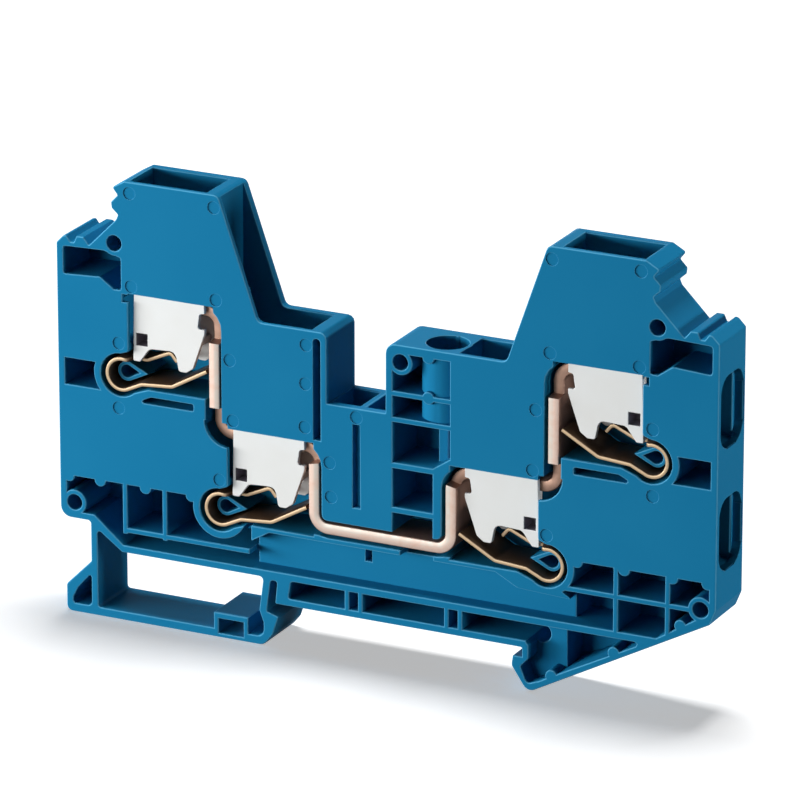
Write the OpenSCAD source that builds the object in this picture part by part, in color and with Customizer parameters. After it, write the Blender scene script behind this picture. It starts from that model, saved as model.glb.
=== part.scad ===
// Feed-through terminal block for a 35 mm rail: four push-down spring clamps on one stepped bar.
// Frame: X along the block, -Y the open side, Z up, origin on the rail seat at the rail's middle.
// Millimetres.

/* [Housing] */
// Length of the housing from end face to end face
block_len = 92.8; // [88:0.2:100]
// Thickness of the block, one pitch on the rail
block_w = 8.2; // [7.8:0.1:10]
// Height of the tall tool shafts above the rail seat
tower_h = 53.9; // [51:0.1:58]
// Height of the low tool shafts and of the test socket above the rail seat
deck_h = 37.8; // [36:0.1:40]
// Height of the bridge shafts above the rail seat
bridge_h = 28.4; // [25:0.1:31]
// Height of the end walls above the rail seat
shoulder_h = 44.4; // [43:0.1:47]
// Middle of the block from the middle of the rail
mid_x = -2.2; // [-4:0.1:0]
// Closed wall at the back
back_wall = 1.2; // [0.8:0.1:1.6]
// Front wall over the tool shafts and wire funnels
front_wall = 0.7; // [0.5:0.05:0.9]
// Outer walls and strips that reach the open side
wall = 1; // [0.8:0.05:1.3]
// Stiffening ribs inside the pockets
rib = 0.7; // [0.5:0.05:1]
// Radius of the peg holes for a cover
peg_r = 1.05; // [0.8:0.05:1.3]
// Depth of the peg holes
peg_depth = 5; // [3:0.5:6]

/* [Clamps] */
// Contact face of a lower clamp from the middle of the block
lower_face = 10.4; // [10:0.1:11]
// Upper clamp from the lower clamp, along the block
step_x = 14.2; // [14:0.1:15]
// Upper clamp from the lower clamp, upward
step_z = 16.15; // [15.8:0.05:17]
// Height of a lower spring's loop above the rail seat
loop_z = 11.55; // [11.2:0.05:12.2]
// Spring loop from its contact face
loop_x = 12.7; // [12.4:0.1:13.2]
// Radius of the spring loop at the middle of its strip
loop_r = 2.1; // [1.9:0.05:2.3]
// Thickness of the spring strip
strip_t = 0.5; // [0.3:0.05:0.6]
// Width of the spring at its loop and lower leg
strip_w = 6; // [5:0.1:6.2]
// Width of the spring's upper leg, which runs between the pusher's cheeks
curl_w = 2.8; // [2:0.1:3.4]
// Room round the spring loop in its pocket
loop_gap = 0.55; // [0.4:0.05:0.7]

/* [Pushers] */
// Length of a pusher along the block
pusher_len = 10.4; // [10:0.1:10.8]
// Pusher from the contact face
pusher_off = 0.9; // [0.6:0.05:1.2]
// Height of a pusher above its spring loop
pusher_h = 15.6; // [15:0.1:17]
// Thickness of a pusher's cheeks
cheek_t = 0.6; // [0.4:0.05:0.7]
// Working stroke of a pusher
stroke = 1.5; // [1:0.1:1.8]
// Running gap beside a pusher
slide_gap = 0.2; // [0.1:0.05:0.3]
// Gap between a pusher's nose and the spring under it
nose_gap = 0.8; // [0.3:0.05:0.9]

/* [Current bar] */
// Thickness of the bar
bar_t = 1.5; // [1.2:0.05:1.7]
// Width of the bar at its upright legs and its middle run
bar_w = 6.6; // [5.5:0.1:6.7]
// Width of the bar where it passes between a pusher's cheeks
flange_w = 3.6; // [3:0.1:4]
// Inner radius of the bends
bend_r = 1.2; // [0.8:0.1:1.6]
// Room beside the bar in its slot
bar_gap = 0.4; // [0.25:0.05:0.5]
// Room between the middle run and the rib that carries it
bar_seat = 0.2; // [0.1:0.05:0.4]

/* [Rail foot] */
// Width of the rail
rail_w = 35; // [34:0.1:36]
// Thickness of the rail's flanges
rail_t = 1; // [0.8:0.1:1.5]
// Play of the rail between the hook and the latch
rail_play = 0.2; // [0.1:0.05:0.4]
// How far the hook and the latch reach under the rail's flanges
hook_bite = 1.3; // [0.8:0.1:1.8]
// Depth of both feet below the rail seat
foot_drop = 6; // [5.5:0.1:7]
// Width of the bending strips of the latch
latch_t = 1.1; // [0.8:0.05:1.3]
// Slot that lets the latch bend away from the rail
latch_gap = 0.9; // [0.7:0.05:1.2]

/* [Hidden] */
$fn = 48;
over = 1;
blue = [0.11, 0.45, 0.66];
white = [0.93, 0.93, 0.92];
copper = [0.86, 0.62, 0.5];
steel = [0.72, 0.64, 0.52];

// Planes across the thickness
y_front = -block_w / 2;
y_back = block_w / 2;
y_floor = y_back - back_wall;
y_inner = y_front + front_wall;
// Pieces sit midway between the front plane and the floor of the housing
y_bar = (y_front + y_floor) / 2;
y_cheek = y_inner + slide_gap;
y_cheek_back = y_floor - slide_gap;

// Heights along the block
half = block_len / 2;
roof = 11.2;
floor_q = -loop_r - strip_t / 2 + 0.95;
wall_p = pusher_off + pusher_len + slide_gap;
flange_q = roof - bar_gap - bar_t / 2 - 0.1;
run_z = loop_z - 0.15;
tray_z = run_z - bar_t / 2 - bar_seat;
beam_z = 3.4;
band_z = loop_z + 1.25;
deck_wall = 7.7;
block_left = -1.6;

// Points of a closed outline whose corners carry a radius: [x, z, radius]
function arc_steps(r) = r < 0.35 ? 2 : (r < 1 ? 3 : 5);
function unit(v) = v / norm(v);
function turn(a) = a > 180 ? a - 360 : (a < -180 ? a + 360 : a);
function flat(p) = [p[0], p[1]];
function corner(a, b, c, r) =
    let (u = unit(a - b), v = unit(c - b), h = acos(max(-1, min(1, u * v))) / 2)
    r <= 0 || h > 89 ? [b] :
    let (m = b + unit(u + v) * r / sin(h), s = b + u * r / tan(h) - m, e = b + v * r / tan(h) - m)
    let (a0 = atan2(s[1], s[0]), da = turn(atan2(e[1], e[0]) - a0))
    ring(m, r, a0, a0 + da, arc_steps(r));
function rounded(pts) = let (n = len(pts))
    [for (i = [0 : n - 1])
        each corner(flat(pts[(i + n - 1) % n]), flat(pts[i]), flat(pts[(i + 1) % n]), pts[i][2])];
// The same for an open path, whose two ends stay where they are
function bent(pts) = let (n = len(pts))
    [flat(pts[0]),
        for (i = [1 : n - 2]) each corner(flat(pts[i - 1]), flat(pts[i]), flat(pts[i + 1]), pts[i][2]),
        flat(pts[n - 1])];
function ring(m, r, a0, a1, n) =
    [for (k = [0 : n]) m + r * [cos(a0 + (a1 - a0) * k / n), sin(a0 + (a1 - a0) * k / n)]];
// Outline of a strip of thickness t along a path
function side_step(path, i) =
    let (n = len(path), a = path[max(0, i - 1)], b = path[i], c = path[min(n - 1, i + 1)])
    let (u = i == 0 ? unit(c - b) : unit(b - a), v = i == n - 1 ? u : unit(c - b), w = unit(u + v))
    [-w[1], w[0]] / max(0.5, w * u);
function strip(path, t) = let (n = len(path))
    concat([for (i = [0 : n - 1]) path[i] + side_step(path, i) * t / 2],
        [for (i = [n - 1 : -1 : 0]) path[i] - side_step(path, i) * t / 2]);
function mirrored(pts) = [for (i = [len(pts) - 1 : -1 : 0]) [-pts[i][0], pts[i][1], pts[i][2]]];
function moved(pts, x) = [for (p = pts) [p[0] + x, p[1], p[2]]];

// An outline in the X-Z plane, from y0 to y1
module slab(y0, y1) {
    translate([0, y1, 0])
        rotate([90, 0, 0])
            linear_extrude(y1 - y0)
                children();
}

// One half of the block, s = 1 on the right and -1 on the left
module half_block(s) {
    translate([mid_x, 0, 0])
        mirror([s < 0 ? 1 : 0, 0, 0])
            children();
}

module both_halves() {
    half_block(1) children();
    half_block(-1) children();
}

// A clamp's own frame: origin on the contact face at the height of the spring's loop
module at_clamp(level) {
    translate([lower_face + level * step_x, 0, loop_z + level * step_z])
        children();
}

module at_clamp_flat(level) {
    translate([lower_face + level * step_x, loop_z + level * step_z])
        children();
}

// Outer edge of one half, from the low shaft's mouth over the tower and the marker grooves
tower_in = 23;
tower_foot = 17.4;
marker_top = half - 8.4;
marker_low = half - 4.75;
flank = [
    [tower_foot, deck_h, 0.9],
    [tower_in, tower_h, 0.9],
    [marker_top - 1.6, tower_h, 0.3],
    [marker_top + 0.2, tower_h - 1, 0.25],
    [marker_top - 0.6, tower_h - 2, 0.2],
    [marker_top + 0.4, tower_h - 3, 0.3],
    [marker_top + 0.3, tower_h - 3.8, 0.25],
    [marker_top - 0.6, tower_h - 4.6, 0.2],
    [marker_top - 0.3, shoulder_h + 4.2, 0.2],
    [marker_low, shoulder_h + 0.2, 0.15],
    [marker_low + 0.8, shoulder_h + 1.2, 0.2],
    [marker_low + 1.8, shoulder_h + 1.2, 0.2],
    [marker_low + 2.2, shoulder_h + 0.3, 0.15],
    [marker_low + 2.7, shoulder_h + 0.3, 0.15],
    [marker_low + 3.3, shoulder_h + 1.1, 0.2],
    [half - 1, shoulder_h + 1, 0.3],
    [half, shoulder_h, 0.4]];

// Rail foot: hook on the right, bending latch on the left
rail_x = rail_w / 2 + rail_play / 2;
bite_z = -rail_t - 0.25;
toe_x = 18.4;
end_right = mid_x + half;
end_left = mid_x - half;
leg_x = end_left + 4.4;
heel_x = end_left + 0.7;
slot_left = -rail_x - latch_gap;
hook = [
    [end_right, 9.4, 0.8],
    [end_right - 0.8, 7.4, 0.6],
    [toe_x, -foot_drop, 1.2],
    [rail_x - hook_bite - 0.2, -2.6, 0.8],
    [rail_x - hook_bite, bite_z, 0.2],
    [rail_x, bite_z, 0],
    [rail_x, 0, 0.2]];
latch = [
    [-rail_x + 0.2, 0, 0.15],
    [-rail_x + 0.5, beam_z - 0.3, 0.3],
    [slot_left + 0.5, beam_z - 0.3, 0.3],
    [slot_left - 0.1, bite_z, 0.2],
    [-rail_x + hook_bite - 0.6, bite_z - 0.5, 0.3],
    [slot_left + 0.7, -foot_drop + 1.6, 1.2],
    [slot_left - 0.6, -foot_drop, 1.4]];
foot = [
    [heel_x, -foot_drop, 0.8],
    [heel_x, -2.3, 0.6],
    [leg_x, 1.4, 0.3],
    [leg_x, 7, 0.4],
    [end_left, 7, 1.5]];
outline = concat(
    [[block_left, bridge_h, 0.1], [block_left, deck_h, 1.4]],
    moved(flank, mid_x), hook, latch, foot,
    moved(mirrored(flank), mid_x),
    [[mid_x - deck_wall, deck_h, 0.9], [mid_x - deck_wall, bridge_h, 0.1]]);

// Pocket of one clamp, as seen on the open side
loop_room = loop_r + strip_t / 2 + loop_gap;
module clamp_pocket() {
    translate([loop_x, 0])
        circle(loop_room);
    polygon(rounded([
        [-bar_t / 2, floor_q, 0], [loop_x - 4, floor_q, 1.5], [loop_x, -loop_room, 0],
        [loop_x, loop_room, 0], [wall_p, loop_room + 0.4, 0.4],
        [wall_p, roof, 0], [-bar_t / 2, roof, 0]]));
    translate([wall_p - over, roof - 1.2])
        square([over + 0.8, 1]);
}

// Middle line of the bar on one half
leg_0 = lower_face - bar_t / 2;
leg_1 = leg_0 + step_x;
flange_0 = loop_z + flange_q;
flange_1 = flange_0 + step_z;
flange_len = 6.5;
bend_m = bend_r + bar_t / 2;
bar_half = [
    [leg_0, run_z, bend_m], [leg_0, flange_0, bend_m],
    [leg_1, flange_0, bend_m], [leg_1, flange_1, bend_m], [leg_1 + flange_len, flange_1, 0]];
bar_path = bent(concat(mirrored(bar_half), bar_half));

// Slot of the bar: its own outline with room on both sides, and wider outside its lowest upper bend
module bar_slot() {
    polygon(strip(bar_path, bar_t + 2 * bar_gap));
    translate([-leg_0, tray_z])
        square([2 * leg_0, run_z - tray_z + bar_t / 2 + bar_gap]);
    for (s = [-1, 1])
        intersection() {
            translate([s * (leg_1 - bend_m), flange_0 + bend_m])
                circle(bend_m + bar_t / 2 + bar_gap + 0.2);
            translate([s * (leg_1 - bend_m) - (s < 0 ? 9 : 0), flange_0 + bend_m - 9])
                square(9);
        }
}

// Wire funnel of one clamp between the front wall and the floor, from the end face to the pocket
funnel_low = 2.4;
funnel_top = 11.9;
module funnel(level) {
    end_p = half - lower_face - level * step_x;
    mouth = end_p - 3.5;
    slab(y_inner, y_floor)
        at_clamp_flat(level)
            polygon([
                [wall_p - 0.1, 4.4], [wall_p + 3.4, 3.3], [mouth, funnel_low + 0.2],
                [end_p - wall, funnel_low], [end_p - wall, funnel_top], [wall_p + 4.2, funnel_top],
                [wall_p + 2, roof - 0.7], [wall_p - 0.1, roof - 0.7]]);
    // Mouth with round corners through the end wall
    mouth_q = (funnel_low + funnel_top) / 2;
    mouth_h = (funnel_top - funnel_low) / 2;
    mouth_w = y_back - 0.5 - y_inner;
    translate([half + over, y_inner + mouth_w / 2, loop_z + level * step_z + mouth_q])
        rotate([0, -90, 0])
            linear_extrude(wall + over + 0.2)
                polygon(rounded([
                    for (c = [[1, 1], [1, -1], [-1, -1], [-1, 1]])
                        [c[0] * mouth_h, c[1] * (mouth_w / 2 - 0.1), 2.2]]));
}

// Tool shafts: the tall one over the upper clamp, the low one open along the tower's slanted edge.
// mouth is the inner side of the low one above its pusher, from the contact face
shaft_in = 0.3;
low_mouth = -0.3;
guide_top = pusher_h + 0.8;
module tool_shafts(mouth) {
    slab(y_inner, y_floor) {
        translate([lower_face + step_x + shaft_in, loop_z + step_z + roof - over])
            square([wall_p - shaft_in, tower_h]);
        translate([lower_face + shaft_in, loop_z + roof - over])
            square([wall_p - shaft_in, guide_top - roof + over]);
        translate([lower_face + mouth, loop_z + guide_top - 0.1])
            square([wall_p - mouth, tower_h]);
        translate([lower_face + mouth, loop_z + step_z + roof + wall])
            square([tower_in - lower_face - mouth, tower_h]);
    }
}

// Slit between the left low shaft and the bridge shafts, with a round top
module shaft_slit() {
    in = deck_wall + 0.9;
    out = lower_face + low_mouth - 0.5;
    low = loop_z + roof + 0.5;
    polygon(rounded([
        [in, low, 0], [out, low, 0], [out, deck_h - wall, 0.45], [in, deck_h - wall, 0.45]]));
}

// Recess between the end wall and the tower, over the funnel's roof
pocket_end = half - wall;
module shoulder_pocket() {
    in = lower_face + step_x + wall_p + wall;
    top = loop_z + step_z + funnel_top + wall;
    polygon(rounded([
        [in, top - 1.4, 0.3], [in + 1, top - 1.4, 0.2], [in + 3, top, 0.4], [pocket_end, top - 0.3, 0.3],
        [pocket_end, shoulder_h - 0.4, 0.3], [in + 2.4, shoulder_h - 0.2, 0.2],
        [in, shoulder_h - 0.9, 0.2]]));
}

// Recess outside the upper loop, and the slot under the upper spring's floor
module loop_pockets() {
    z = loop_z + step_z;
    x = lower_face + step_x;
    difference() {
        translate([x + loop_x, z - 2.4])
            square([pocket_end - x - loop_x, 3.6]);
        translate([x + loop_x, z])
            circle(loop_room + wall);
    }
    polygon(rounded([
        [x + 2.2, z + floor_q - wall - 0.9, 0.2], [x + loop_x - 2.4, z + floor_q - wall - 0.9, 0.2],
        [x + loop_x - 4.4, z + floor_q - wall, 0.6], [x + 2.2, z + floor_q - wall, 0.2]]));
}

// Hollow peg inside a spring loop, drawn out to a point along the legs
boss_r = loop_r - strip_t / 2 - 0.5;
boss_tip = 3.1;
module boss_flat(r, tip) {
    a = 180 - acos(r / tip);
    polygon(concat(ring([0, 0], r, -a, a, 16), [[-tip, 0]]));
}

module spring_boss() {
    translate([loop_x, 0])
        difference() {
            boss_flat(boss_r, boss_tip);
            boss_flat(boss_r - 0.5, boss_tip - 1.3);
        }
}

// Ribbed recesses under the lower clamps, left and right
module left_band() {
    difference() {
        polygon(rounded([
            [end_left + wall, band_z, 0.2], [end_left + wall, 8, 0.4], [leg_x + 0.6, 7.9, 0.3],
            [leg_x + 4.8, beam_z + wall, 0.3], [mid_x - 18.6, beam_z + wall, 0],
            [mid_x - 18.6, band_z - 2, 0.3],
            [mid_x - lower_face - loop_x, band_z - 2, 0], [mid_x - lower_face - loop_x, band_z, 0]]));
        translate([mid_x - lower_face - loop_x, loop_z])
            circle(loop_room + wall);
        for (x = [mid_x - 36.9, mid_x - 31.1])
            translate([x - rib / 2, 6])
                square([rib, band_z]);
        translate([mid_x - 37.2, 6.2])
            square([40, rib]);
        for (x = [mid_x - 45.1, mid_x - 40.5, mid_x - 33.9, mid_x - 27.2])
            translate([x, band_z])
                circle(stub_r);
    }
}

module right_band() {
    difference() {
        polygon(rounded([
            [mid_x + 26.4, beam_z + wall, 0], [mid_x + 38.3, beam_z + wall, 0.2],
            [end_right - 2.4, 8, 0.4],
            [end_right - wall, 9.4, 0.3], [end_right - wall, band_z, 0.2],
            [mid_x + lower_face + loop_x, band_z, 0], [mid_x + lower_face + loop_x, band_z - 3, 0],
            [mid_x + 26.4, band_z - 5, 0]]));
        translate([mid_x + lower_face + loop_x, loop_z])
            circle(loop_room + wall);
        for (x = [mid_x + 32.7, mid_x + 39.8])
            translate([x - rib / 2, 0])
                square([rib, 20]);
        translate([mid_x + 20, 9 - rib / 2])
            square([30, rib]);
        for (x = [mid_x + 27.3, mid_x + 33.8, mid_x + 40.4, mid_x + 45.2])
            translate([x, band_z])
                circle(stub_r);
        translate([39.4, toe_line(39.4) + wall + 0.3])
            circle(stub_r);
    }
}

// Shallow field under the bar's carrying rib
tray_rib = 0.9;
module tray_field() {
    polygon(rounded([
        [mid_x - 18.8, beam_z + wall, 0], [mid_x + 26.6, beam_z + wall, 0], [mid_x + 26.6, 7.6, 0],
        [mid_x + 19, loop_z - 3.6, 1], [mid_x + 16, tray_z - tray_rib, 0.5],
        [mid_x - 16, tray_z - tray_rib, 0.5], [mid_x - 18.8, loop_z - 3.6, 0]]));
}

// Narrow slit in that field, and the gap in the carrying rib beside it
module tray_slits() {
    translate([mid_x - 3.3, tray_z - tray_rib - 2.4])
        square([0.9, 2.2]);
    translate([mid_x + 2.7, tray_z - tray_rib - 0.2])
        square([4.6, tray_rib + 0.4]);
}

// Recesses between the beam and the rail seat, and the one behind the hook's slanted strip
stub_r = 0.85;
function toe_line(x) = -foot_drop + (x - toe_x) * (7.4 + foot_drop) / (end_right - 0.8 - toe_x);
module seat_pockets() {
    difference() {
        polygon(rounded([
            [-rail_x + 2.1, wall, 0.3], [rail_x + 1.2, wall, 0], [rail_x + 1.2, beam_z, 0],
            [-rail_x + 2.5, beam_z, 0.3]]));
        for (x = [-7.1, -5.2, 7, 8.9])
            translate([x - rib / 2, 0])
                square([rib, beam_z + over]);
    }
    difference() {
        polygon(rounded([
            [22.8, toe_line(22.8) + wall, 0], [34.4, beam_z, 0.3], [22.8, beam_z, 0]]));
        translate([30.3, toe_line(30.3) + wall])
            circle(stub_r);
    }
    translate([rail_x + 1.65, 1.35])
        circle(1.2);
}

// Shallower field inside the hook
module hook_field() {
    difference() {
        polygon(rounded([
            [rail_x + 0.9, beam_z, 0], [rail_x + 0.9, -1.4, 0.3], [rail_x - 0.2, -2.6, 0.3],
            [toe_x - 0.1, -foot_drop + 1.2, 0.6], [toe_x + 1.6, toe_line(toe_x + 1.6) + wall, 0.3],
            [23, toe_line(23) + wall, 0], [23, beam_z, 0]]));
        translate([21.7, toe_line(21.7) + wall])
            circle(stub_r);
    }
}

// Open window of the foot, and the loop for a screwdriver that pulls the latch
loop_w = 5;
loop_h = 3.4;
loop_left = slot_left - 7.8;
module foot_window() {
    difference() {
        polygon(rounded([
            [leg_x + wall, -foot_drop + wall + 0.2, 0.4], [leg_x + wall, 6, 0.3],
            [leg_x + 4.6, beam_z, 0.3],
            [slot_left + 0.5 - latch_t, beam_z, 0.5], [slot_left - 0.1 - latch_t, bite_z, 0.6],
            [slot_left + 0.3 - latch_t + 0.2, bite_z - 1.6, 0.6],
            [slot_left + 0.5 - latch_t, -foot_drop + wall + 0.2, 0.9]]));
        translate([loop_left, -foot_drop])
            square([loop_w, loop_h]);
    }
    translate([loop_left + 0.7, -foot_drop + 0.6])
        square([loop_w - 1.4, loop_h - 1.4]);
}

module heel_pocket() {
    polygon(rounded([
        [leg_x, -0.3, 0.2], [leg_x, -foot_drop + wall + 0.2, 0.6],
        [heel_x + wall, -foot_drop + wall + 0.2, 0.4], [heel_x + wall, -4, 0.2],
        [heel_x + 1.7, -2.6, 0.4]]));
}

// Test socket and the ribbed recess in front of it
socket_x = 5.4;
socket_r = 2.75;
socket_y = y_bar + 0.2;
socket_deep = 9;
panel_right = mid_x + lower_face - bar_t - bar_gap - 0.3;
module socket_panel() {
    left = block_left + wall;
    right = 7.4;
    difference() {
        for (r = [[31.6, deck_h - 1.2], [28.1, 30.9]])
            translate([left, r[0]])
                square([right - left, r[1] - r[0]]);
        for (z = [deck_h - 1.1, 31.3])
            translate([socket_x - 1, z])
                circle(stub_r);
    }
    polygon([[left, 22], [panel_right - wall, 22], [right, 23.6], [right, 27.4], [left, 27.4]]);
    for (r = [[16, 21.2], [run_z + bar_t / 2 + 0.1, 15.2]])
        translate([left, r[0]])
            square([panel_right - wall - left, r[1] - r[0]]);
}

// Bridge shafts between the low shaft and the socket block
module bridge_shafts() {
    left = mid_x - deck_wall + 0.2;
    right = block_left - 0.3;
    split = (left + right) / 2 + 0.5;
    for (x = [[left, split - rib / 2], [split + rib / 2, right]])
        translate([x[0], 16])
            square([x[1] - x[0], bridge_h]);
}

// Round marks left by the mould's ejector pins
pin_r = 0.85;
pin_deep = 0.15;
module pin_marks() {
    up = loop_z + step_z;
    low = loop_z;
    face = lower_face + step_x;
    for (p = [
        [tower_in + 0.6, tower_h - 1.7], [face + wall_p - 0.4, tower_h - 1.5],
        [face - 1.2, up + roof + 1], [face + wall_p - 0.5, up + roof + 1],
        [face - 3.1, up + 4.4], [face + wall_p + 1.4, up + 4.3], [face - 3.5, up - 3.7],
        [face + wall_p + 1.5, up - 4.5], [lower_face + wall_p + 1.2, low + 4.1]])
        translate(p)
            circle(pin_r);
}

module left_pin_marks() {
    for (p = [
        [lower_face + 0.2, deck_h - 2], [lower_face + 0.3, bridge_h + 2.2],
        [lower_face + 0.4, loop_z + roof + 2], [deck_wall - 0.4, bridge_h - 7.9],
        [deck_wall - 0.6, bridge_h - 12.5], [deck_wall - 4.2, bridge_h - 1.2]])
        translate(p)
            circle(pin_r);
}

// Peg holes for a cover: two high, two low, and one in the socket block
peg_high = [marker_top, shoulder_h + 1];
peg_low = [half - 2.1, 9.2];
peg_mid = [0.5, deck_h - 2.3];
module peg_places() {
    for (s = [-1, 1], p = [peg_high, peg_low])
        translate([mid_x + s * p[0], p[1]])
            children();
    translate(peg_mid)
        children();
}

module housing() {
    color(blue)
        difference() {
            union() {
                difference() {
                    slab(y_front, y_back)
                        polygon(rounded(outline));
                    slab(y_front - over, y_floor) {
                        translate([mid_x, 0]) {
                            bar_slot();
                            for (s = [0, 1])
                                mirror([s, 0]) {
                                    at_clamp_flat(0) clamp_pocket();
                                    at_clamp_flat(1) clamp_pocket();
                                    shoulder_pocket();
                                    loop_pockets();
                                }
                        }
                        left_band();
                        right_band();
                        seat_pockets();
                        socket_panel();
                    }
                    slab(y_front - over, y_front + 2.2)
                        tray_field();
                    slab(y_front - over, y_floor)
                        tray_slits();
                    slab(y_front - over, y_front + 2.6)
                        hook_field();
                    slab(y_front - over, y_back + over)
                        foot_window();
                    slab(y_front - over, y_floor)
                        heel_pocket();
                    slab(y_inner + 0.5, y_floor)
                        bridge_shafts();
                    both_halves() {
                        funnel(0);
                        funnel(1);
                    }
                    half_block(-1) tool_shafts(low_mouth);
                    half_block(1) tool_shafts(shaft_in);
                    slab(y_front - over, y_floor)
                        translate([mid_x, 0])
                            mirror([1, 0])
                                shaft_slit();
                    slab(y_front - over, y_front + pin_deep)
                        translate([mid_x, 0])
                            for (s = [0, 1])
                                mirror([s, 0]) {
                                    pin_marks();
                                    if (s == 1)
                                        left_pin_marks();
                                }
                    // Slit in the middle plate
                    slab(y_front - over, y_front + 0.9)
                        translate([-6.2, 15])
                            square([1, 11.2]);
                }
                // Tube of the test socket, the hollow pegs in the loops and the rims of the peg holes
                translate([socket_x, socket_y, deck_h - socket_deep - rib])
                    cylinder(socket_deep + rib, socket_r + 0.5, socket_r + 0.5);
                translate([socket_x - 0.8, socket_y - 1, 21.9])
                    cube([panel_right - socket_x + 0.8, y_floor - socket_y + 1,
                        deck_h - socket_deep - 21.9]);
                slab(y_front + 1.8, y_floor + 0.2)
                    translate([mid_x, 0])
                        for (s = [0, 1], level = [0, 1])
                            mirror([s, 0])
                                at_clamp_flat(level)
                                    spring_boss();
                slab(y_front, y_floor + 0.2)
                    peg_places()
                        circle(peg_r + 0.65);
            }
            slab(y_front - over, y_front + peg_depth)
                peg_places()
                    circle(peg_r);
            translate([socket_x, socket_y, deck_h - socket_deep])
                cylinder(socket_deep + over, socket_r, socket_r);
        }
}

// One bent strip: wide on the legs and the middle run, narrow between the pushers' cheeks
wide_top_0 = loop_z + 8.4;
wide_low_1 = loop_z + step_z - 2.5;
wide_top_1 = loop_z + step_z + 6.3;
module current_bar() {
    color(copper)
        translate([mid_x, 0, 0]) {
            slab(y_bar - flange_w / 2, y_bar + flange_w / 2)
                polygon(strip(bar_path, bar_t));
            slab(y_bar - bar_w / 2, y_bar + bar_w / 2)
                intersection() {
                    polygon(strip(bar_path, bar_t));
                    union() {
                        translate([-lower_face - over, 0])
                            square([2 * lower_face + 2 * over, wide_top_0]);
                        for (s = [-1, 1])
                            translate([s * leg_1 - bar_t, wide_low_1])
                                square([2 * bar_t, wide_top_1 - wide_low_1]);
                    }
                }
        }
}

// Middle line of a spring: curled upper leg, loop round the peg, lower leg up to the contact face
curl_tip = [5.6, 2.2];
curl_top = [6.5, 3.3];
curl_root = [9.9, loop_r - 0.3];
leg_root = [9.8, -0.95];
leg_knee = [5.4, -0.6];
leg_tip = [0.15 + strip_t / 2, 2.2];
tight_bend = 0.6;
soft_bend = 1.5;
strip_set = 0.3;
spring_path = concat(
    bent([curl_tip, [curl_top[0], curl_top[1], tight_bend],
        [curl_root[0], curl_root[1], soft_bend], [loop_x, loop_r]]),
    ring([loop_x, 0], loop_r, 82, -112, 20),
    bent([[loop_x + loop_r * cos(-120), loop_r * sin(-120)], [leg_root[0], leg_root[1], soft_bend - 0.3],
        [leg_knee[0], leg_knee[1], soft_bend], leg_tip]));

module clamp_spring(s, level) {
    color(steel)
        half_block(s)
            at_clamp(level) {
                slab(y_front + strip_set, y_front + strip_set + strip_w)
                    difference() {
                        polygon(strip(spring_path, strip_t));
                        translate([nose_p + 0.8, loop_r - 1])
                            square([wall_p - nose_p - 0.7, 9]);
                    }
                slab(y_bar - curl_w / 2, y_bar + curl_w / 2)
                    polygon(strip(spring_path, strip_t));
            }
}

// Height of the spring's top face under the nose
nose_p = 3.8;
leg_slope = (leg_tip[1] - leg_knee[1]) / (leg_knee[0] - leg_tip[0]);
nose_q = leg_knee[1] + (leg_knee[0] - nose_p) * leg_slope + strip_t * 0.6 + nose_gap;

arch_q = 4;

// Cheek of a pusher: recess over the spring's curl, nose over its lower leg, notch beside the bar
module cheek_flat() {
    in = pusher_off;
    out = pusher_off + pusher_len;
    difference() {
        polygon(rounded([
            [out, 1.9, 0.2], [out - 0.3, pusher_h, 0.4], [in, pusher_h, 0.4], [in, 7, 0.2],
            [in + 1.7, nose_q + 0.7, 0.5], [nose_p - 0.2, nose_q, 0.5], [nose_p + 0.9, nose_q, 0.4],
            [nose_p + 1.4, arch_q, 0.9], [out - 2.4, arch_q - 0.2, 0.8], [out - 1, 1.9, 0.2]]));
        polygon(rounded([
            [in - over, 7.6, 0], [in + 1, 7.6, 0.3], [in + 0.7, 9.6, 0.3], [in - over, 9.9, 0]]));
    }
}

module pusher(s, level) {
    in = pusher_off;
    out = pusher_off + pusher_len;
    color(white)
        half_block(s)
            at_clamp(level) {
                // Front cheek with a deep square hole, closed by a pad behind it
                difference() {
                    union() {
                        slab(y_cheek, y_cheek + cheek_t)
                            cheek_flat();
                        slab(y_cheek + cheek_t / 2, y_cheek + cheek_t + 2)
                            translate([out - 2.4, arch_q - 0.2])
                                square([2.2, 2.2]);
                    }
                    slab(y_cheek - over, y_cheek + cheek_t + 1.6)
                        translate([out - 2.1, arch_q + 0.1])
                            square([1.6, 1.65]);
                }
                slab(y_cheek_back - cheek_t, y_cheek_back)
                    intersection() {
                        cheek_flat();
                        square([loop_x - boss_tip - 0.6, pusher_h]);
                    }
                // Lower and upper web between the cheeks
                slab(y_cheek + cheek_t / 2, y_cheek_back - cheek_t / 2) {
                    translate([in + 1.9, arch_q + 0.3])
                        square([pusher_len - 4.7, 0.9]);
                    translate([in + 0.2, flange_q + bar_t / 2 + stroke + 0.6])
                        square([pusher_len - 0.8, pusher_h - flange_q - bar_t / 2 - stroke - 0.8]);
                }
            }
}

housing();
current_bar();
pusher(-1, 1);  // pusher_upper_left
pusher(-1, 0);  // pusher_lower_left
pusher(1, 0);  // pusher_lower_right
pusher(1, 1);  // pusher_upper_right
clamp_spring(-1, 1);  // clamp_spring_upper_left
clamp_spring(-1, 0);  // clamp_spring_lower_left
clamp_spring(1, 0);  // clamp_spring_lower_right
clamp_spring(1, 1);  // clamp_spring_upper_right
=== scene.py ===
import math

import bmesh
import bpy
import numpy as np
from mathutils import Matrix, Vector, geometry


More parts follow.
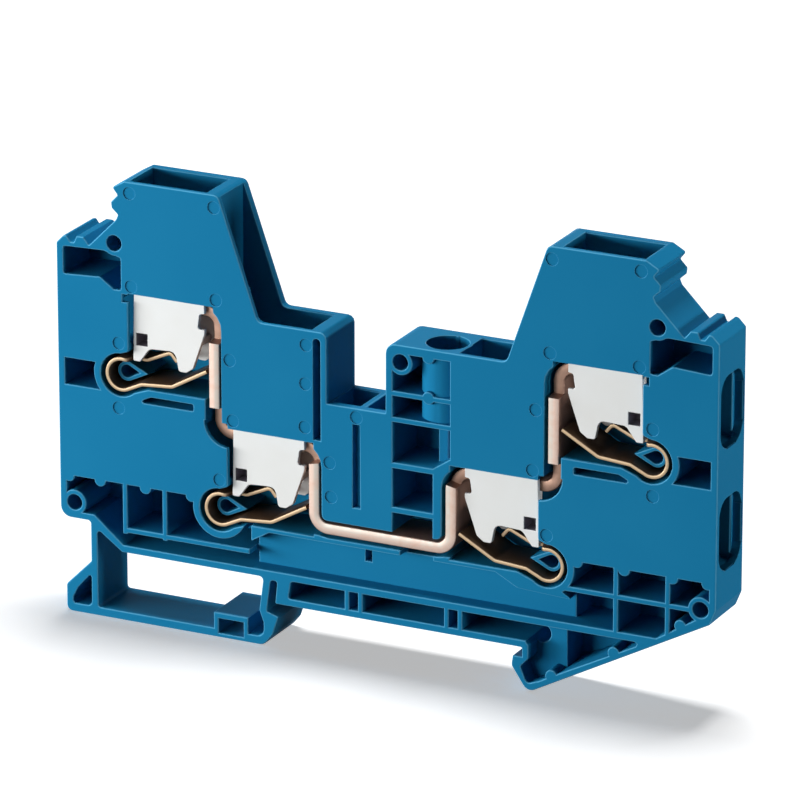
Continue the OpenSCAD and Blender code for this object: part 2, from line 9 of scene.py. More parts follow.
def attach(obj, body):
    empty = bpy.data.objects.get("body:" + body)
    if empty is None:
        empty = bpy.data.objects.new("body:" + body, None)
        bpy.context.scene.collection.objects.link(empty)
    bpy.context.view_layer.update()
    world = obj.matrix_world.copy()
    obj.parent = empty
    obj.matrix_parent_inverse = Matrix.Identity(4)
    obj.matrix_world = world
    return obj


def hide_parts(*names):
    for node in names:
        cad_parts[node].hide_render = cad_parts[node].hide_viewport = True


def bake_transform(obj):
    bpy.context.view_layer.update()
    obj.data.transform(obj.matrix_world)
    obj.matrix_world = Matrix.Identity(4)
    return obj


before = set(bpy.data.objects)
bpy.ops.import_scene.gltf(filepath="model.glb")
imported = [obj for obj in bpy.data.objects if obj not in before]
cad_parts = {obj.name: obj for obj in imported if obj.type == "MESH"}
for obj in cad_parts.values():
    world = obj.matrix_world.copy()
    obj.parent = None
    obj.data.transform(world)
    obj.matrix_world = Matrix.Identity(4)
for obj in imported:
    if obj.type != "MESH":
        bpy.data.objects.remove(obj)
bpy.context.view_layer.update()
scene = bpy.context.scene
mm = 0.001
front, back = (0, -1, 0), (0, 1, 0)
left, right = (-1, 0, 0), (1, 0, 0)
down, up = (0, 0, -1), (0, 0, 1)
smoothAngle = math.radians(50)  # faces that meet at less than this shade as one surface
print("frame loaded:", len(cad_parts), "solids")


def tint(code):  # sRGB hex to the linear colour that a socket takes
    parts = [int(code[i:i + 2], 16) / 255 for i in (1, 3, 5)]
    return [c / 12.92 if c <= 0.04045 else ((c + 0.055) / 1.055) ** 2.4 for c in parts] + [1]


def addNode(tree, kind, inputs=None, **settings):  # a socket among the inputs is linked, the rest are set
    node = tree.nodes.new("ShaderNode" + kind)
    for name, value in settings.items():
        setattr(node, name, value)
    for name, value in (inputs or {}).items():
        if isinstance(value, bpy.types.NodeSocket):
            tree.links.new(value, node.inputs[name])
        else:
            node.inputs[name].default_value = value
    return node


def newMaterial(name):
    material = bpy.data.materials.new(name)
    material.use_nodes = True
    material.node_tree.nodes.clear()
    return material, material.node_tree


# camera: long lens, no shift, at the angle of the photograph
cameraLook = {"azimuth": 26.1, "elevation": 19.38, "distance": 900 * mm, "lens": 321.6, "sensor": 36,
              "aim": (0.48 * mm, -4.1 * mm, 30.52 * mm), "clip": (0.01, 20)}
azimuth = math.radians(cameraLook["azimuth"])
elevation = math.radians(cameraLook["elevation"])
backward = Vector((math.sin(azimuth) * math.cos(elevation),
                   -math.cos(azimuth) * math.cos(elevation),
                   math.sin(elevation)))
lensData = bpy.data.cameras.new("productLens")
lensData.lens = cameraLook["lens"]
lensData.sensor_width = cameraLook["sensor"]
lensData.clip_start, lensData.clip_end = cameraLook["clip"]
camera = bpy.data.objects.new("productCamera", lensData)
camera.location = Vector(cameraLook["aim"]) + backward * cameraLook["distance"]
camera.rotation_euler = backward.to_track_quat("Z", "Y").to_euler()
scene.collection.objects.link(camera)
scene.camera = camera

# soft boxes, in metres: one on the left that grazes the front, low fills in front, on the right and behind,
# one overhead, and one for the floor alone
softBoxes = {
    "leftGraze": {"at": (-0.42, -0.245, 0.065), "size": (0.3, 0.13), "watts": 2.5},
    "frontFill": {"at": (-0.36, -0.64, 0.08), "size": (0.35, 0.15), "watts": 2.6},
    "rightFill": {"at": (0.75, 0.0, 0.05), "size": (0.14, 0.14), "watts": 3.5},
    "overhead": {"at": (-0.2, 0.04, 0.82), "size": (0.3, 0.3), "watts": 6.2},
    "floorLight": {"at": (0.01, 0.14, 0.83), "size": (0.3, 0.22), "watts": 5.2},
    "backFill": {"at": (-0.1, 0.75, 0.05), "size": (0.5, 0.1), "watts": 4.2},
}
lampAim = Vector((0, 0, 25 * mm))  # the middle of the piece
besideFloor = bpy.data.collections.new("besideFloor")  # the lamps on the piece leave the floor out
onFloor = bpy.data.collections.new("onFloor")  # the floor has a lamp of its own, for the piece's shadow
for name, box in softBoxes.items():
    lamp = bpy.data.lights.new(name, "AREA")
    lamp.shape = "RECTANGLE"
    lamp.size, lamp.size_y = box["size"]
    lamp.energy = box["watts"]
    light = bpy.data.objects.new(name, lamp)
    light.location = box["at"]
    light.rotation_euler = (Vector(box["at"]) - lampAim).to_track_quat("Z", "Y").to_euler()
    scene.collection.objects.link(light)
    light.light_linking.receiver_collection = onFloor if name == "floorLight" else besideFloor


def seenRays(tree):  # 1 for rays that show a surface to the lens, straight, mirrored or through glass
    ray = addNode(tree, "LightPath")
    seen = ray.outputs["Is Camera Ray"]
    for kind in ("Is Glossy Ray", "Is Transmission Ray"):
        seen = addNode(tree, "Math", {0: seen, 1: ray.outputs[kind]}, operation="MAXIMUM").outputs[0]
    return seen


# room: white to the lens, and only a little light from it on the piece
room = {"colour": "#FFFFFF", "ambient": 0.02, "seen": 1.0}
world = bpy.data.worlds.new("whiteRoom")
world.use_nodes = True
scene.world = world
tree = world.node_tree
tree.nodes.clear()
strength = addNode(tree, "MapRange", {"Value": seenRays(tree),
                                      "To Min": room["ambient"], "To Max": room["seen"]})
sky = addNode(tree, "Background", {"Color": tint(room["colour"]), "Strength": strength.outputs[0]})
addNode(tree, "OutputWorld", {"Surface": sky.outputs[0]})
print("camera and light set")

# floor: matt white paper, lifted towards white for the lens and most so far from the piece, with the shadow
# left in it; what it throws back at the piece is held down
paper = {"reach": 3.0, "level": -6 * mm, "colour": "#FAFAFA", "bounce": "#7A7A7A",
         "nearLift": 0.46, "farLift": 1.0, "near": 150 * mm, "far": 450 * mm}
floorMat, tree = newMaterial("whitePaperSweep")
seen = seenRays(tree)
coordinates = addNode(tree, "TexCoord")
away = addNode(tree, "VectorMath", {0: coordinates.outputs["Object"]}, operation="LENGTH")
away = addNode(tree, "MapRange", {"Value": away.outputs["Value"],
                                  "From Min": paper["near"], "From Max": paper["far"],
                                  "To Min": paper["nearLift"], "To Max": paper["farLift"]})
lift = addNode(tree, "Math", {0: seen, 1: away.outputs[0]}, operation="MULTIPLY")
shade = addNode(tree, "MixRGB", {"Fac": seen, "Color1": tint(paper["bounce"]),
                                 "Color2": tint(paper["colour"])})
matt = addNode(tree, "BsdfDiffuse", {"Color": shade.outputs[0]})
glow = addNode(tree, "Emission", {"Strength": lift.outputs[0]})
both = addNode(tree, "AddShader", {0: matt.outputs[0], 1: glow.outputs[0]})
addNode(tree, "OutputMaterial", {"Surface": both.outputs[0]})
mesh = bpy.data.meshes.new("paperSweep")
reach, level = paper["reach"], paper["level"]
corners = [(-reach, -reach, level), (reach, -reach, level), (reach, reach, level), (-reach, reach, level)]
mesh.from_pydata(corners, [], [(0, 1, 2, 3)])
mesh.materials.append(floorMat)
floor = bpy.data.objects.new("paperSweep", mesh)
scene.collection.objects.link(floor)
onFloor.objects.link(floor)
besideFloor.objects.link(floor)
besideFloor.collection_objects[0].light_linking.link_state = "EXCLUDE"

# blue polyamide, moulded in a spark-eroded tool: matt with a fine grain, a slow drift in the dye, and a paler
# blue painted highlight on its rounded edges; the real grain is about 0.05 mm, too fine to show, so it is
# drawn at 0.35 mm
bluePolyamide = {"base": "#1D79A3", "deep": "#15719D", "paintedHighlightColour": "#5FA9CC", "paintedHighlightShare": 0.75,
                 "drift": 14 * mm, "driftDetail": 2.0,
                 "grain": 0.35 * mm, "grainDetail": 3.0, "grainDepth": 0.006 * mm, "grainStrength": 0.5,
                 "roughness": (0.4, 0.55), "ior": 1.53, "specular": 0.006}
blueMat, tree = newMaterial("polyamideBlueSparkErodedTool")
coordinates = addNode(tree, "TexCoord")
drift = addNode(tree, "TexNoise", {"Vector": coordinates.outputs["Object"],
                                   "Scale": 1 / bluePolyamide["drift"],
                                   "Detail": bluePolyamide["driftDetail"]})
grain = addNode(tree, "TexNoise", {"Vector": coordinates.outputs["Object"],
                                   "Scale": 1 / bluePolyamide["grain"],
                                   "Detail": bluePolyamide["grainDetail"]})
dyed = addNode(tree, "MixRGB", {"Fac": drift.outputs["Fac"], "Color1": tint(bluePolyamide["base"]),
                                "Color2": tint(bluePolyamide["deep"])})
# painted highlight: the rim layer on the rounded edges mixes a paler blue into the colour
rim = addNode(tree, "Attribute", attribute_name="rim")
paintedHighlightMask = addNode(tree, "Math", {0: rim.outputs["Fac"], 1: bluePolyamide["paintedHighlightShare"]}, operation="MULTIPLY")
colour = addNode(tree, "MixRGB", {"Fac": paintedHighlightMask.outputs[0], "Color1": dyed.outputs[0],
                                  "Color2": tint(bluePolyamide["paintedHighlightColour"])})
rough = addNode(tree, "MapRange", {"Value": grain.outputs["Fac"], "To Min": bluePolyamide["roughness"][0],
                                   "To Max": bluePolyamide["roughness"][1]})
bump = addNode(tree, "Bump", {"Height": grain.outputs["Fac"], "Strength": bluePolyamide["grainStrength"],
                              "Distance": bluePolyamide["grainDepth"]})
skin = addNode(tree, "BsdfPrincipled", {"Base Color": colour.outputs[0], "Roughness": rough.outputs[0],
                                        "IOR": bluePolyamide["ior"], "Normal": bump.outputs[0],
                                        "Specular IOR Level": bluePolyamide["specular"]})
addNode(tree, "OutputMaterial", {"Surface": skin.outputs[0]})

# natural white polyamide, moulded: slightly waxy, soft edges; its 0.04 mm grain is too fine to show and is
# drawn at 0.3 mm; its small square hole is deeper on the real piece, so walls that the piece itself shelters
# get painted shade
whitePolyamide = {"base": "#E0E3E3", "warm": "#D9DAD7", "hollow": "#85808A",
                  "shelter": 2 * mm, "open": (0.45, 0.85), "drift": 4 * mm,
                  "grain": 0.3 * mm, "detail": 2.0, "grainDepth": 0.004 * mm, "grainStrength": 0.4,
                  "roughness": (0.4, 0.52), "ior": 1.53}
whiteMat, tree = newMaterial("polyamideWhiteMoulded")
coordinates = addNode(tree, "TexCoord")
drift = addNode(tree, "TexNoise", {"Vector": coordinates.outputs["Object"],
                                   "Scale": 1 / whitePolyamide["drift"], "Detail": whitePolyamide["detail"]})
grain = addNode(tree, "TexNoise", {"Vector": coordinates.outputs["Object"],
                                   "Scale": 1 / whitePolyamide["grain"], "Detail": whitePolyamide["detail"]})
colour = addNode(tree, "MixRGB", {"Fac": drift.outputs["Fac"], "Color1": tint(whitePolyamide["base"]),
                                  "Color2": tint(whitePolyamide["warm"])})
# painted shade: where the piece's own faces close in, ambient occlusion mixes the colour towards grey
shelter = addNode(tree, "AmbientOcclusion", {"Distance": whitePolyamide["shelter"]}, only_local=True)
lit = addNode(tree, "MapRange", {"Value": shelter.outputs["AO"], "From Min": whitePolyamide["open"][0],
                                 "From Max": whitePolyamide["open"][1]})
colour = addNode(tree, "MixRGB", {"Fac": lit.outputs[0], "Color1": tint(whitePolyamide["hollow"]),
                                  "Color2": colour.outputs[0]})
rough = addNode(tree, "MapRange", {"Value": grain.outputs["Fac"], "To Min": whitePolyamide["roughness"][0],
                                   "To Max": whitePolyamide["roughness"][1]})
bump = addNode(tree, "Bump", {"Height": grain.outputs["Fac"], "Strength": whitePolyamide["grainStrength"],
                              "Distance": whitePolyamide["grainDepth"]})
skin = addNode(tree, "BsdfPrincipled", {"Base Color": colour.outputs[0], "Roughness": rough.outputs[0],
                                        "IOR": whitePolyamide["ior"], "Normal": bump.outputs[0]})
addNode(tree, "OutputMaterial", {"Surface": skin.outputs[0]})


def cutEdges(tree, coordinates):  # 1 on the cut edges of a strip, which look along Y, 0 on its broad faces
    side = addNode(tree, "SeparateXYZ", {"Vector": coordinates.outputs["Normal"]})
    side = addNode(tree, "Math", {0: side.outputs["Y"]}, operation="ABSOLUTE")
    return addNode(tree, "MapRange", {"Value": side.outputs[0], "From Min": 0.5, "From Max": 0.8}).outputs[0]


# tinned copper strip: broad faces warm and dull, punched edges with a pale sheared band and a pinker torn
# band; every cut edge except the front edges of the wide parts, such as the narrow bends, gets a browner
# painted shade
tinnedCopper = {"sheared": "#9C958D", "torn": "#AB988D", "face": "#A08072", "drawn": "#836A5C",
                "shear": 0.22 * mm, "shearDetail": 2.0, "shearDepth": 0.01 * mm, "shearStrength": 0.5,
                "bandFrom": -0.1 * mm, "bandTo": 0.15 * mm, "paintedShadeStart": -3.5 * mm, "paintedShadeFull": -2.6 * mm,
                "blotch": 1.2 * mm, "blotchDetail": 3.0, "blotchFrom": 0.45, "blotchTo": 0.75,
                "blotchShare": 0.5, "roughness": (0.4, 0.56)}
copperMat, tree = newMaterial("copperStripTinnedPunched")
coordinates = addNode(tree, "TexCoord")
across = addNode(tree, "Attribute", attribute_name="across")
along = addNode(tree, "Attribute", attribute_name="along")
strokes = addNode(tree, "CombineXYZ", {"X": along.outputs["Fac"], "Y": across.outputs["Fac"]})
shear = addNode(tree, "TexNoise", {"Vector": strokes.outputs[0], "Scale": 1 / tinnedCopper["shear"],
                                   "Detail": tinnedCopper["shearDetail"]})
grain = addNode(tree, "TexNoise", {"Vector": coordinates.outputs["Object"],
                                   "Scale": 1 / tinnedCopper["blotch"],
                                   "Detail": tinnedCopper["blotchDetail"]})
band = addNode(tree, "MapRange", {"Value": across.outputs["Fac"], "From Min": tinnedCopper["bandFrom"],
                                  "From Max": tinnedCopper["bandTo"]})
punched = addNode(tree, "MixRGB", {"Fac": band.outputs[0], "Color1": tint(tinnedCopper["torn"]),
                                   "Color2": tint(tinnedCopper["sheared"])})
# painted shade: cut edges further back in Y than the front edges of the wide parts turn brown
spot = addNode(tree, "SeparateXYZ", {"Vector": coordinates.outputs["Object"]})
narrow = addNode(tree, "MapRange", {"Value": spot.outputs["Y"], "From Min": tinnedCopper["paintedShadeStart"],
                                    "From Max": tinnedCopper["paintedShadeFull"]})
punched = addNode(tree, "MixRGB", {"Fac": narrow.outputs[0], "Color1": punched.outputs[0],
                                   "Color2": tint(tinnedCopper["drawn"])})
blotch = addNode(tree, "MapRange", {"Value": grain.outputs["Fac"], "From Min": tinnedCopper["blotchFrom"],
                                    "From Max": tinnedCopper["blotchTo"],
                                    "To Max": tinnedCopper["blotchShare"]})
punched = addNode(tree, "MixRGB", {"Fac": blotch.outputs[0], "Color1": punched.outputs[0],
                                   "Color2": tint(tinnedCopper["face"])})
colour = addNode(tree, "MixRGB", {"Fac": cutEdges(tree, coordinates), "Color1": tint(tinnedCopper["face"]),
                                  "Color2": punched.outputs[0]})
rough = addNode(tree, "MapRange", {"Value": grain.outputs["Fac"], "To Min": tinnedCopper["roughness"][0],
                                   "To Max": tinnedCopper["roughness"][1]})
bump = addNode(tree, "Bump", {"Height": shear.outputs["Fac"], "Strength": tinnedCopper["shearStrength"],
                              "Distance": tinnedCopper["shearDepth"]})
skin = addNode(tree, "BsdfPrincipled", {"Base Color": colour.outputs[0], "Roughness": rough.outputs[0],
                                        "Metallic": 1.0, "Normal": bump.outputs[0]})
addNode(tree, "OutputMaterial", {"Surface": skin.outputs[0]})

# spring steel, slit and tempered: dark brown oxide on the broad faces, bare tan metal on the slit edges
springSteel = {"edge": "#A38D70", "oxide": "#4C392B", "straw": "#644C37",
               "drift": 1.6 * mm, "driftDetail": 3.0, "roughness": (0.38, 0.52), "metal": 0.6}
steelMat, tree = newMaterial("springSteelTemperedSlit")
coordinates = addNode(tree, "TexCoord")
grain = addNode(tree, "TexNoise", {"Vector": coordinates.outputs["Object"], "Scale": 1 / springSteel["drift"],
                                   "Detail": springSteel["driftDetail"]})
broad = addNode(tree, "MixRGB", {"Fac": grain.outputs["Fac"], "Color1": tint(springSteel["oxide"]),
                                 "Color2": tint(springSteel["straw"])})
colour = addNode(tree, "MixRGB", {"Fac": cutEdges(tree, coordinates), "Color1": broad.outputs[0],
                                  "Color2": tint(springSteel["edge"])})
rough = addNode(tree, "MapRange", {"Value": grain.outputs["Fac"], "To Min": springSteel["roughness"][0],
                                   "To Max": springSteel["roughness"][1]})
skin = addNode(tree, "BsdfPrincipled", {"Base Color": colour.outputs[0], "Roughness": rough.outputs[0],
                                        "Metallic": springSteel["metal"]})
addNode(tree, "OutputMaterial", {"Surface": skin.outputs[0]})
print("materials mixed")

# rounding of moulded edges: how squarely a flat face looks along the axis, which neighbours count as a wall,
# how much of a wall's depth an edge may take, how far a corner may draw in and how far the face is probed
easing = {"square": 0.9995, "wallLean": 0.6, "wallOutward": -0.4, "depthShare": 0.35,
          "straight": 0.99, "hairpin": -0.9, "cornerReach": 3, "probe": 2.2, "probeMore": 0.003 * mm,
          "narrowTries": 4, "crossTries": 6, "halvings": 3, "least": 1e-6,
          "arcMiddle": 0.293}  # 1 - cos 45 degrees


def onPlane(point, plane):  # where a point lies along the two directions of a flat face
    return point.dot(plane[0]), point.dot(plane[1])


def insideRims(x, y, starts, ends):  # counts the rims that a level line to the right of the point meets
    cut = (starts[:, 1] > y) != (ends[:, 1] > y)
    share = (y - starts[cut, 1]) / (ends[cut, 1] - starts[cut, 1])
    at = starts[cut, 0] + share * (ends[cut, 0] - starts[cut, 0])
    return (at > x).sum() % 2 == 1


def turnOf(origin, first, second):  # above zero where the second point lies to the left of the first
    firstX, firstY = first[..., 0] - origin[..., 0], first[..., 1] - origin[..., 1]
    secondX, secondY = second[..., 0] - origin[..., 0], second[..., 1] - origin[..., 1]
    return firstX * secondY - firstY * secondX


def crossingRims(starts, ends):  # numbers of the rims that run through another one
    bad = set()
    for i, (start, end) in enumerate(zip(starts, ends)):
        hit = turnOf(start, end, starts) * turnOf(start, end, ends) < 0
        hit &= turnOf(starts, ends, start) * turnOf(starts, ends, end) < 0
        if hit.any():
            bad.update([i], np.nonzero(hit)[0].tolist())
    return bad


def flatGroups(form, axis):  # faces that look along the axis, in lists of those that hang together
    form.normal_update()
    form.faces.index_update()
    flats = {f for f in form.faces if f.normal.dot(axis) > easing["square"]}
    waiting = set(flats)
    for f in form.faces:  # slivers that an earlier pass has turned over are filled anew too
        turned = f.normal.dot(axis) < -easing["square"]
        if turned and all(any(g in flats for g in e.link_faces) for e in f.edges):
            waiting.add(f)
    groups = []
    for first in sorted(waiting, key=lambda f: f.index):
        if first not in waiting:
            continue
        waiting.discard(first)
        group, queue = [], [first]
        while queue:
            f = queue.pop()
            group.append(f)
            for g in (g for e in f.edges for g in e.link_faces):
                if g in waiting:
                    waiting.discard(g)
                    queue.append(g)
        groups.append(group)
    return groups


def rimsOf(group, axis, ease):  # outer edges of a flat: both ends, the way inward, the rounding it can take
    members = set(group)
    rims = []
    for loop in (loop for f in group for loop in f.loops):
        beyond = [g for g in loop.edge.link_faces if g not in members]
        if not beyond:
            continue
        start, end, wall = loop.vert, loop.link_loop_next.vert, beyond[0]
        inward = axis.cross(end.co - start.co).normalized()
        depth = max((v.co - start.co).dot(-axis) for v in wall.verts)
        outward = wall.normal.dot(inward) < easing["wallOutward"]
        convex = outward and wall.normal.dot(axis) < easing["wallLean"]
        rims.append((start, end, inward, min(ease, easing["depthShare"] * depth) if convex else 0.0))
    return rims


def cornerStep(inwardA, sizeA, inwardB, sizeB):  # draws a corner in from both of its rims
    both, turn = inwardA + inwardB, inwardA.dot(inwardB)
    if turn > easing["straight"]:
        return both / 2 * (sizeA + sizeB) / 2 if min(sizeA, sizeB) > 0 else Vector()
    if turn < easing["hairpin"]:
        return both.normalized() * max(sizeA, sizeB) if both.length > easing["least"] else Vector()
    return (inwardA * (sizeA - turn * sizeB) + inwardB * (sizeB - turn * sizeA)) / (1 - turn * turn)


def inwardSteps(rims, plane, ease):  # how far each corner of a flat is drawn in, and its rounding
    leaving, arriving = {}, {}
    for start, end, inward, size in rims:
        leaving.setdefault(start, []).append((inward, size))
        arriving.setdefault(end, []).append((inward, size))
    starts = np.array([onPlane(rim[0].co, plane) for rim in rims])
    ends = np.array([onPlane(rim[1].co, plane) for rim in rims])
    steps = {}
    for v in leaving:
        sides = leaving[v] + arriving.get(v, [])
        if len(sides) != 2:
            continue
        (inwardA, sizeA), (inwardB, sizeB) = sides
        step, size = cornerStep(inwardA, sizeA, inwardB, sizeB), max(sizeA, sizeB)
        if size == 0 or step.length == 0:
            continue
        step *= min(1, easing["cornerReach"] * ease / step.length)
        more = (inwardA + inwardB).normalized() * easing["probeMore"]
        for trial in range(easing["narrowTries"]):  # less rounding where the face is too narrow for it
            far = v.co + easing["probe"] * step + more
            if insideRims(*onPlane(far, plane), starts, ends):
                steps[v] = (step, size)
                break
            step, size = step / 2, size / 2
    return steps


def uncrossedSteps(steps, rims, plane):  # less rounding where two shrunken rims would cross, in the end none
    for trial in range(easing["crossTries"]):
        drawn = {v: v.co + steps[v][0] if v in steps else v.co for rim in rims for v in rim[:2]}
        bad = crossingRims(np.array([onPlane(drawn[rim[0]], plane) for rim in rims]) / mm,
                           np.array([onPlane(drawn[rim[1]], plane) for rim in rims]) / mm)
        if not bad:
            break
        for v in {v for i in bad for v in rims[i][:2] if v in steps}:
            step, size = steps[v]
            steps[v] = (step / 2, size / 2) if trial < easing["halvings"] else (Vector(), 0)
    return {v: pair for v, pair in steps.items() if pair[1] > 0}


def closeFace(form, corners):  # left out where it has no width or is there already
    corners = list(dict.fromkeys(corners))
    if len(corners) > 2 and not form.faces.get(corners):
        form.faces.new(corners)


def refillFlat(form, group, outline, plane, axis):  # fills a shrunken face again inside its rims
    numbers, spots = {}, []
    for v in (v for pair in outline for v in pair):
        if v not in numbers:
            numbers[v] = len(spots)
            spots.append(Vector(onPlane(v.co, plane)) / mm)
    lines = [(numbers[a], numbers[b]) for a, b in outline]
    filled = geometry.delaunay_2d_cdt(spots, lines, [], 2, easing["least"])
    points, cells, origins = filled[0], filled[2], filled[3]
    known = list(numbers)
    level = max(v.co.dot(axis) for v in known)
    corners = []
    for point, origin in zip(points, origins):
        if origin:
            corners.append(known[origin[0]])
        else:  # a crossing of rims is a new corner
            corners.append(form.verts.new((plane[0] * point.x + plane[1] * point.y) * mm + axis * level))
    starts = np.array([spots[a] for a, b in lines])
    ends = np.array([spots[b] for a, b in lines])
    bmesh.ops.delete(form, geom=group, context="FACES")
    for cell in cells:
        x, y = sum((points[i] for i in cell), Vector((0, 0))) / len(cell)
        if insideRims(x, y, starts, ends):
            closeFace(form, [corners[i] for i in cell])


# rounds the outer edges of every flat face that looks along one axis: the face shrinks and two strips close
# the gap; the last argument sets how strong a painted highlight the middle of each rounding gets in the rim
# layer
def easeRims(form, axis, ease, paintedHighlightAmount):
    rimLayer = form.verts.layers.float.get("rim") or form.verts.layers.float.new("rim")
    axis = Vector(axis)
    across = axis.orthogonal().normalized()
    plane = (across, axis.cross(across))
    for group in flatGroups(form, axis):
        rims = rimsOf(group, axis, ease)
        steps = inwardSteps(rims, plane, ease)
        if not steps:
            continue
        steps = uncrossedSteps(steps, rims, plane)
        middle, top = {}, {}
        for v, (step, size) in steps.items():
            middle[v] = form.verts.new(v.co + step * easing["arcMiddle"] - axis * size * easing["arcMiddle"])
            # painted highlight on the middle of the rounding
            middle[v][rimLayer] = paintedHighlightAmount
            top[v] = form.verts.new(v.co + step)
        refillFlat(form, group, [[top.get(v, v) for v in rim[:2]] for rim in rims], plane, axis)
        for start, end, inward, size in rims:
            lowStart, lowEnd = middle.get(start, start), middle.get(end, end)
            closeFace(form, (start, end, lowEnd, lowStart))
            closeFace(form, (lowStart, lowEnd, top.get(end, end), top.get(start, start)))
        for v, (step, size) in steps.items():
            v.co -= axis * size


# corner normals: the flat walls stay flat up to their rounded edges, the rest is smooth
def mouldedNormals(mesh, flatArea):
    form = bmesh.new()
    form.from_mesh(mesh)
    form.normal_update()
    area, facing = {}, {}
    for f in form.faces:
        facing[f] = tuple(round(c, 2) for c in f.normal)
        area[facing[f]] = area.get(facing[f], 0) + f.calc_area()
    flats = {way for way, total in area.items() if total > flatArea}
    normals = []
    for loop in (loop for f in form.faces for loop in f.loops):
        own = loop.face.normal
        near = [g for g in loop.vert.link_faces if g.normal.dot(own) > math.cos(smoothAngle)]
        walls = [g for g in near if facing[g] in flats]
        if walls:
            normals.append(max(walls, key=lambda g: g.normal.dot(own)).normal.copy())
        else:
            mean = sum((g.normal * g.calc_area() for g in near), Vector())
            normals.append(mean.normalized() if mean.length > 0 else own.copy())
    form.free()
    mesh.normals_split_custom_set(normals)


# a moulded piece from its solid, with the edges that a mould leaves
def mouldedPiece(node, name, recipe, material, body):
    form = bmesh.new()
    form.from_mesh(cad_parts[node].data)
    bmesh.ops.remove_doubles(form, verts=form.verts, dist=recipe["weld"])
    for axis, ease, paintedHighlightAmount in recipe["eases"]:
        easeRims(form, axis, ease, paintedHighlightAmount)
    bmesh.ops.recalc_face_normals(form, faces=form.faces)
    mesh = bpy.data.meshes.new(name)
    form.to_mesh(mesh)
    form.free()
    mesh.materials.clear()
    mesh.materials.append(material)
    mesh.shade_smooth()
    mouldedNormals(mesh, recipe["flatArea"])
    piece = bpy.data.objects.new(name, mesh)
    scene.collection.objects.link(piece)
    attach(piece, body)
    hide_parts(node)
    print(name, len(mesh.polygons), "faces")
    return piece


# housing: its front edges are the roundest and get the strongest painted highlight, those at the ends and
# below a weaker one
housingRecipe = {"weld": 0.002 * mm, "flatArea": 15 * mm ** 2,
                 "eases": [(front, 0.18 * mm, 1), (back, 0.13 * mm, 1), (up, 0.13 * mm, 1),
                           (right, 0.13 * mm, 0.3), (left, 0.13 * mm, 0.3), (down, 0.13 * mm, 0.5)]}
housing = mouldedPiece("housing", "mouldedHousing", housingRecipe, blueMat, "block")

# pushers: the same edges on all four, none of them with a painted highlight
pusherRecipe = {"weld": 0.002 * mm, "flatArea": 2 * mm ** 2,
                "eases": [(front, 0.12 * mm, 0), (back, 0.1 * mm, 0), (up, 0.1 * mm, 0)]}
for corner in ("upper_left", "lower_left", "lower_right", "upper_right"):
    node = "pusher_" + corner
    pusher = mouldedPiece(node, "mouldedPusher_" + corner, pusherRecipe, whiteMat, node)


def roundedPath(points, steps):  # (x, z, radius) corners to a smooth open line
    line = [Vector(points[0][:2])]
    for before, at, after in zip(points, points[1:], points[2:]):
        corner, radius = Vector(at[:2]), at[2]
        toBefore = (Vector(before[:2]) - corner).normalized()
        toAfter = (Vector(after[:2]) - corner).normalized()
        half = toBefore.angle(toAfter) / 2
        middle = corner + (toBefore + toAfter).normalized() * radius / math.sin(half)
        start = corner + toBefore * radius / math.tan(half) - middle
        end = corner + toAfter * radius / math.tan(half) - middle
        sweep = start.angle_signed(end)
        for k in range(steps + 1):
            cos, sin = math.cos(-sweep * k / steps), math.sin(-sweep * k / steps)
            line.append(middle + Vector((start.x * cos - start.y * sin, start.x * sin + start.y * cos)))
    line.append(Vector(points[-1][:2]))
    return line


def evenPath(line, pitch):  # points added along the straight runs
    out = [line[0]]
    for a, b in zip(line, line[1:]):
        count = max(1, math.ceil((b - a).length / pitch))
        out += [a.lerp(b, (k + 1) / count) for k in range(count)]
    return out


def stripSection(half, ease, low, high):  # (height, y) round a strip, its four edges eased
    soft = 0.3 * ease
    upper = [(half - ease, high), (half - soft, high - soft), (half, high - ease),
             (half, low + ease), (half - soft, low + soft), (half - ease, low)]
    return upper + [(-height, y) for height, y in reversed(upper)]


# strip bent along a line in X and Z, its width given by a rule, its points in millimetres set down by place;
# across and along say where on the strip a point lies
def bentStrip(name, line, recipe, widthAt, place, material):
    form = bmesh.new()
    acrossLayer = form.verts.layers.float.new("across")
    alongLayer = form.verts.layers.float.new("along")
    rings, run = [], 0.0
    ways = [(b - a).normalized() for a, b in zip(line, line[1:])]
    for i, point in enumerate(line):
        before, after = ways[max(0, i - 1)], ways[min(i, len(ways) - 1)]
        mean = (before + after).normalized()
        side = Vector((-mean.y, mean.x)) / max(0.5, mean.dot(before))  # longer at a bend, at most twice
        run += (point - line[i - 1]).length if i else 0
        ring = []
        for height, y in stripSection(recipe["thick"] / 2, recipe["ease"], *widthAt(point)):
            spot = point + side * height
            v = form.verts.new(place(spot.x, y, spot.y))
            v[acrossLayer] = height * mm
            v[alongLayer] = run * mm
            ring.append(v)
        rings.append(ring)
    for a, b in zip(rings, rings[1:]):
        for k in range(len(a)):
            form.faces.new((a[k - 1], a[k], b[k], b[k - 1]))
    form.faces.new(rings[0])
    form.faces.new(rings[-1])
    bmesh.ops.recalc_face_normals(form, faces=form.faces)
    mesh = bpy.data.meshes.new(name)
    form.to_mesh(mesh)
    form.free()
    mesh.materials.append(material)
    mesh.shade_smooth()
    mesh.set_sharp_from_angle(angle=smoothAngle)
    piece = bpy.data.objects.new(name, mesh)
    scene.collection.objects.link(piece)
    print(name, len(mesh.polygons), "faces")
    return piece


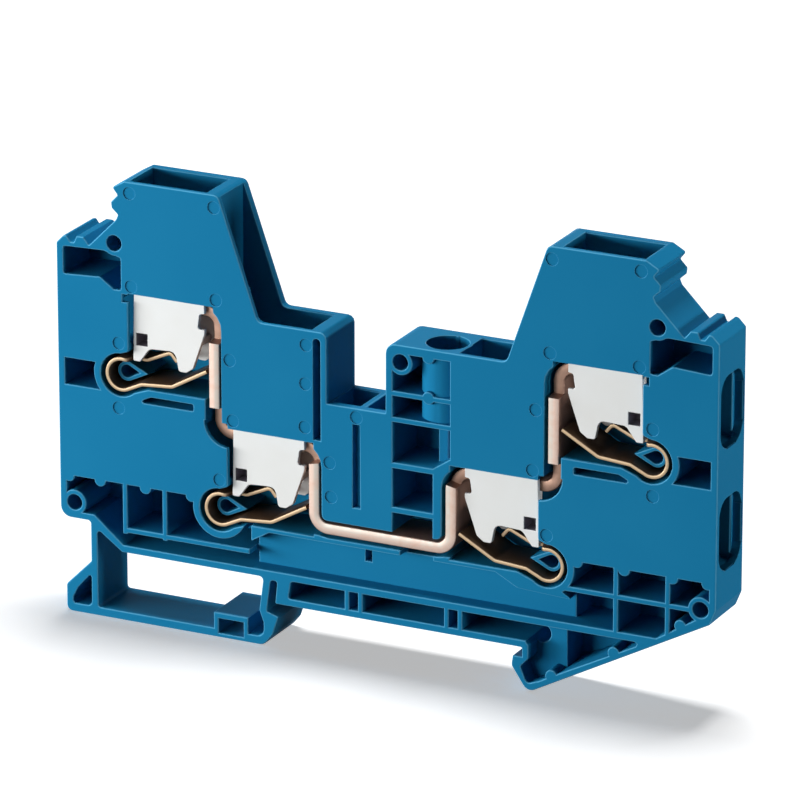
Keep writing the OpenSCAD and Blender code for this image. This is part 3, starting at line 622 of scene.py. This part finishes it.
# current bar, in millimetres from its middle: two steps up on each side, wide on its legs and middle run,
# narrow between the cheeks of the pushers
bar = {"middle": -2.2, "thick": 1.5, "ease": 0.16, "bend": 1.95, "bendSteps": 12, "pitch": 0.2,
       "legs": (9.65, 23.85), "tip": 30.35, "levels": (11.4, 21.5, 37.65),
       "wide": (-3.9, 2.7), "narrow": (-2.4, 1.2),
       "lowerWide": (11.4, 19.95), "upperWideX": (22.3, 25.4), "upperWideZ": (25.2, 34.0)}


def barWidth(point):
    x, z = abs(point.x), point.y
    (farX, farZ), (fromX, toX), (fromZ, toZ) = bar["lowerWide"], bar["upperWideX"], bar["upperWideZ"]
    isWide = (x < farX and z < farZ) or (fromX < x < toX and fromZ < z < toZ)
    return bar["wide"] if isWide else bar["narrow"]


def barPlace(x, y, z):
    return (bar["middle"] + x) * mm, y * mm, z * mm


innerLeg, outerLeg = bar["legs"]
bottom, shelf, topRun = bar["levels"]
barHalf = [(innerLeg, bottom), (innerLeg, shelf), (outerLeg, shelf), (outerLeg, topRun), (bar["tip"], topRun)]
barLine = [(-x, z, bar["bend"]) for x, z in reversed(barHalf)] + [(x, z, bar["bend"]) for x, z in barHalf]
barLine = evenPath(roundedPath(barLine, bar["bendSteps"]), bar["pitch"])
barPiece = bentStrip("bentBar", barLine, bar, barWidth, barPlace, copperMat)
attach(barPiece, "block")
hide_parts("current_bar")

# clamp springs, in millimetres from the bar's contact face: curl, loop and contact leg from one strip;
# on the real part the curl and the tip of the leg go down with the pusher and the loop stays, here the strip
# is fixed
spring = {"thick": 0.5, "ease": 0.1, "wide": (-3.8, 2.2), "narrow": (-2.0, 0.8), "bendSteps": 8, "pitch": 0.3,
          "loopAt": (12.7, 0.0), "loopRadius": 2.1, "loopTurn": range(82, -113, -4), "loopEnd": -120,
          "curl": [(5.6, 2.2, 0), (6.5, 3.3, 0.6), (9.9, 1.8, 1.5)],
          "leg": [(9.8, -0.95, 1.2), (5.4, -0.6, 1.5), (0.4, 2.2, 0)],
          "upperLeg": (4.6, 1.1), "neck": 11.45, "flare": 0.5,
          "faces": (10.4, 24.6), "heights": (11.55, 27.7),
          "bendFrom": (6.6, -2.0), "bendTo": (4.0, 3.2)}


def onLoop(degrees):
    turn = math.radians(degrees)
    return Vector(spring["loopAt"]) + spring["loopRadius"] * Vector((math.cos(turn), math.sin(turn)))


def springWidth(point):  # the upper leg is narrow up to its neck and flares into the loop
    share = 1
    if point.x > spring["upperLeg"][0] and point.y > spring["upperLeg"][1]:
        share = min(1, max(0, (point.x - spring["neck"]) / spring["flare"]))
    return [narrow + (wide - narrow) * share for narrow, wide in zip(spring["narrow"], spring["wide"])]


springLine = roundedPath(spring["curl"] + [(*onLoop(90), 0)], spring["bendSteps"])
springLine += [onLoop(degrees) for degrees in spring["loopTurn"]]
springLine += roundedPath([(*onLoop(spring["loopEnd"]), 0)] + spring["leg"], spring["bendSteps"])
springLine = evenPath(springLine, spring["pitch"])
for height, face, base in zip(("lower", "upper"), spring["faces"], spring["heights"]):
    for sign, hand in ((-1, "left"), (1, "right")):
        def clampPlace(x, y, z):
            return (bar["middle"] + sign * (face + x)) * mm, y * mm, (base + z) * mm

        corner = height + "_" + hand
        piece = bentStrip("bentSpring_" + corner, springLine, spring, springWidth, clampPlace, steelMat)
        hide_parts("clamp_spring_" + corner)
        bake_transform(piece)
print("pieces placed")

scene.view_settings.view_transform = "Standard"
